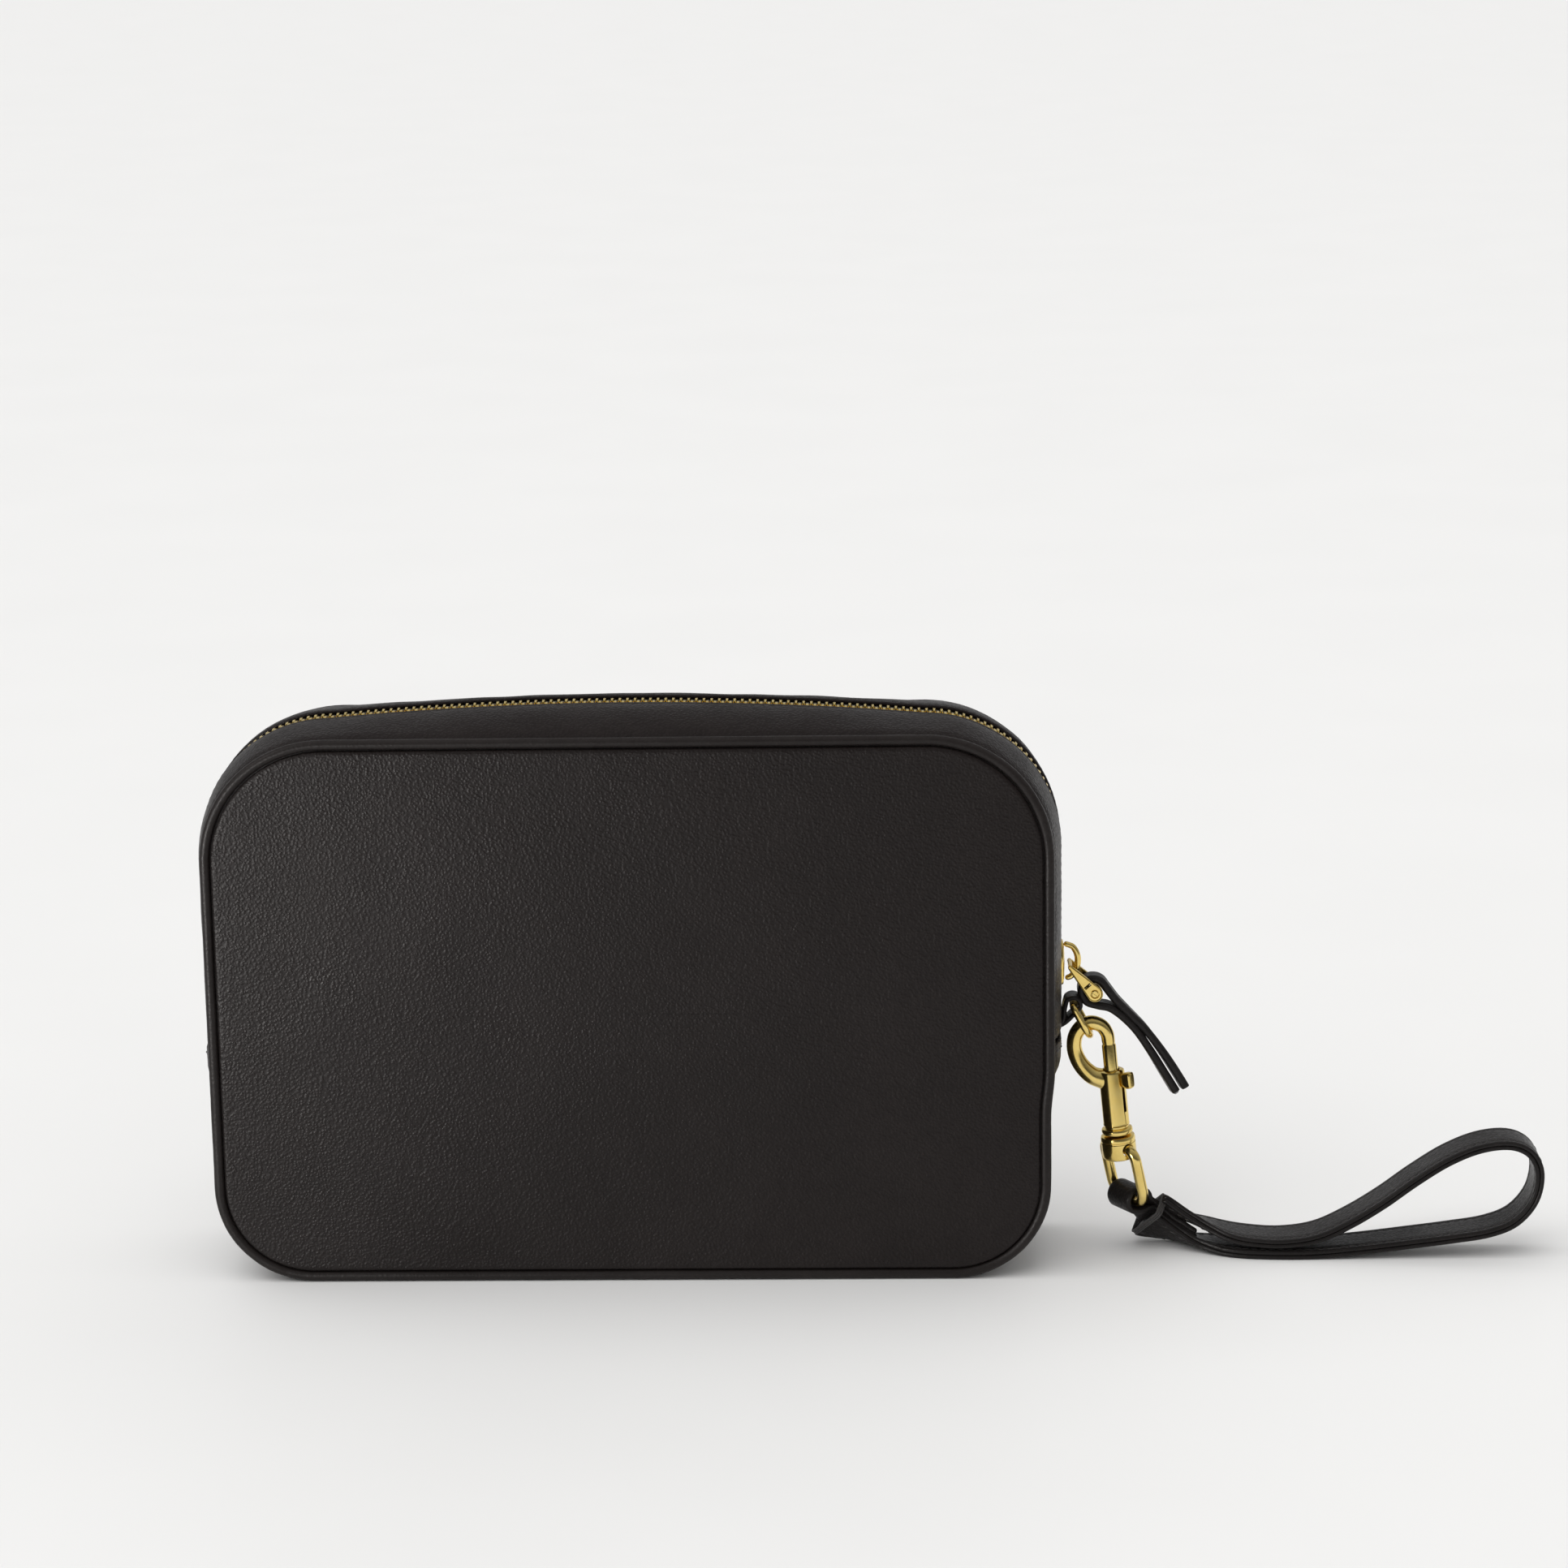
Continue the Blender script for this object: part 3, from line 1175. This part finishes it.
def make_keeper(centre):
    across, _, away = eye_axes()
    points = []
    for reach, rise in KEEPER_PATH:
        point = centre + away * reach + Z_AXIS * rise
        if reach > 4.0:
            point.y = interpolate(STRAP_DRIFT, point.x)
        points.append(point)
    path = smooth_path(points, 6)
    sides = []
    for point in path:
        share = part_way((point - centre).dot(away), 2.0, 6.0)
        sides.append(across.lerp(strap_side(point.x), share).normalized())
    section, marks = strip_section(KEEPER_WIDTH, KEEPER_THICKNESS, 1)
    shape = strip(path, sides, section, marks, rounded_ends(path, True, True, 3.0))
    add_piece("keeper_leather", [shape], [STRAP_LEATHER, EDGE_PAINT], "strap", ["strap_keeper"])


def make_strap():
    path = smooth_path([(x, interpolate(STRAP_DRIFT, x), z) for x, z in STRAP_PATH], 6)
    sides = [strap_side(point.x) for point in path]
    section, marks = strip_section(STRAP_WIDTH, STRAP_THICKNESS, 2, STRAP_STITCH_INSET)
    shape = strip(path, sides, section, marks, rounded_ends(path, True, True, 1.2))
    add_piece("strap_leather_loop", [shape], [STRAP_LEATHER, EDGE_PAINT], "strap",
              ["strap_loop"])
    shapes = []
    for point, tangent in along(path, STITCH_PITCH, 4.0)[:-1]:
        side = strap_side(point.x)
        normal = tangent.cross(side).normalized()
        for face in (-1.0, 1.0):
            for edge in (-1.0, 1.0):
                place = (point + normal * (face * (STRAP_THICKNESS / 2 - 0.12))
                         + side * (edge * (STRAP_WIDTH / 2 - STRAP_STITCH_INSET)))
                shapes.append(stitch(place, tangent, normal * face, STITCH_LENGTH,
                                     THREAD_RADIUS))
    add_piece("strap_stitches", shapes, [THREAD], "strap")


def make_binding():
    """Loops of thread round the strap's two ends and the keeper's tails."""
    side = strap_side(BINDING_CENTRE.x)
    slope = (BINDING_UP - side * BINDING_UP.dot(side)).normalized()
    normal = side.cross(slope).normalized()
    half_width, half_height = BINDING_HALF_WIDTH - 0.25, BINDING_HALF_HEIGHT - 0.2
    turn = BINDING_CORNER
    outline = []
    for a, b, start in ((1, -1, -90.0), (1, 1, 0.0), (-1, 1, 90.0), (-1, -1, 180.0)):
        outline += arc((a * (half_width - turn), b * (half_height - turn)), turn, start,
                       start + 90.0, 8)
    shapes = []
    for index in range(BINDING_LOOPS):
        shift = BINDING_CENTRE + normal * (BINDING_PITCH * (index - (BINDING_LOOPS - 1) / 2))
        path = [shift + side * a + slope * b for a, b in outline]
        shapes.append(tube(path, BINDING_THREAD, 10, normal, True))
    add_piece("binding_thread", shapes, [THREAD], "strap", ["strap_binding"])


def finish_stops():
    """The zip's stops keep their frame shapes, with rounded edges and the metal finish."""
    for name in ("zip_bottom_stop", "zip_top_stop_front", "zip_top_stop_back"):
        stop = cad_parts[name]
        stop.data.materials.clear()
        stop.data.materials.append(GOLD)
        soften(stop, 0.3)


# Studio

def make_floor():
    """A wide pale floor."""
    half = FLOOR_HALF
    corners = [Vector((x, y, 0.0)) for x, y in ((-half, -half), (half, -half), (half, half),
                                                (-half, half))]
    floor = add_piece("studio_floor", [(corners, [(0, 1, 2, 3)], [0])], [floor_material()])


def aim(light, heading):
    light.rotation_mode = "QUATERNION"
    light.rotation_quaternion = heading.to_track_quat("-Z", "Y")


def add_glow(name, place, target, size, power, colour):
    """A panel of light that shows only in reflections."""
    data = bpy.data.lights.new(name, "AREA")
    data.shape = "RECTANGLE"
    data.size, data.size_y = size
    data.energy = power
    data.color = colour
    light = add_object(name, data)
    light.location = place
    aim(light, Vector(target) - Vector(place))
    light.visible_camera = False
    light.visible_diffuse = False


def make_world():
    """Even pale light on every surface, with dimmer surroundings to reflect near the camera."""
    world = bpy.data.worlds.new("studio")
    bpy.context.scene.world = world
    world.use_nodes = True
    tree = world.node_tree
    direction = tree.nodes.new("ShaderNodeTexCoord").outputs["Generated"]
    parts = tree.nodes.new("ShaderNodeSeparateXYZ")
    tree.links.new(direction, parts.inputs["Vector"])
    lean = tree.nodes.new("ShaderNodeMath")
    lean.operation = "MULTIPLY_ADD"
    lean.inputs[1].default_value = 1.1
    tree.links.new(parts.outputs["Z"], lean.inputs[0])
    tree.links.new(parts.outputs["Y"], lean.inputs[2])
    ramp = tree.nodes.new("ShaderNodeMapRange")
    for socket, number in (("From Min", -0.75), ("From Max", 0.9), ("To Min", 0.08),
                           ("To Max", REFLECTED_LIGHT)):
        ramp.inputs[socket].default_value = number
    tree.links.new(lean.outputs["Value"], ramp.inputs["Value"])
    rays = tree.nodes.new("ShaderNodeLightPath")
    output = tree.nodes["World Output"]
    shader = tree.nodes["Background"]
    shader.inputs["Color"].default_value = (1.0, 1.0, 1.0, 1.0)
    shader.inputs["Strength"].default_value = WORLD_LIGHT
    for ray, colour, strength in (("Is Glossy Ray", (0.985, 0.99, 1.0, 1.0), None),
                                  ("Is Camera Ray", (0.86, 0.855, 0.85, 1.0), 1.0)):
        other = tree.nodes.new("ShaderNodeBackground")
        other.inputs["Color"].default_value = colour
        if strength is None:
            tree.links.new(ramp.outputs["Result"], other.inputs["Strength"])
        else:
            other.inputs["Strength"].default_value = strength
        choice = tree.nodes.new("ShaderNodeMixShader")
        tree.links.new(rays.outputs[ray], choice.inputs["Fac"])
        tree.links.new(shader.outputs[0], choice.inputs[1])
        tree.links.new(other.outputs["Background"], choice.inputs[2])
        shader = choice
    tree.links.new(shader.outputs[0], output.inputs["Surface"])


def make_lights():
    """Two glows that only show in reflections, and a broad sun that never does."""
    add_glow("key_left", (-0.36, -0.43, 0.07), (-0.11, 0.0, 0.07), (0.2, 0.14), 2.3,
             (1.0, 0.97, 0.95))
    add_glow("key_high", (-0.9, -0.5, 1.0), (0.1, 0.0, 0.05), (0.35, 0.7), 3.0,
             (1.0, 0.985, 0.965))
    data = bpy.data.lights.new("overhead", "SUN")
    data.energy = OVERHEAD_LIGHT
    data.angle = OVERHEAD_SPREAD
    overhead = add_object("overhead", data)
    overhead.visible_glossy = False
    overhead.visible_camera = False
    aim(overhead, OVERHEAD_HEADING)
    make_world()


def make_camera():
    """Camera turned by yaw, then tipped down by pitch, then rolled about its own view."""
    yaw, pitch, roll = CAMERA_YAW, CAMERA_PITCH, CAMERA_ROLL
    forward = Vector((math.sin(yaw) * math.cos(pitch), math.cos(yaw) * math.cos(pitch),
                      -math.sin(pitch)))
    level = Vector((math.cos(yaw), -math.sin(yaw), 0.0))
    upright = level.cross(forward)
    right = math.cos(roll) * level + math.sin(roll) * upright
    up = -math.sin(roll) * level + math.cos(roll) * upright
    data = bpy.data.cameras.new("camera")
    data.sensor_width = CAMERA_SENSOR
    data.lens = CAMERA_LENS
    camera = add_object("camera", data)
    turn = Matrix((right, up, -forward)).transposed().to_4x4()
    camera.matrix_world = Matrix.Translation(CAMERA_PLACE) @ turn
    bpy.context.scene.camera = camera


def build():
    make_front()
    make_back()
    make_gusset()
    make_zip_half("front", -1.0, FOLD_Z + 0.15, "flap")
    make_zip_half("back", 1.0, GUSSET_TOP + 0.3, "bag")
    finish_stops()
    make_slider()
    make_puller()
    make_pull()
    make_tab_and_ring()
    make_snap_hook()
    make_bolt()
    make_spring()
    make_collar()
    make_keeper(make_eye_ring())
    make_strap()
    make_binding()
    make_floor()
    make_lights()
    make_camera()
    bpy.context.scene.view_settings.view_transform = "Standard"


build()
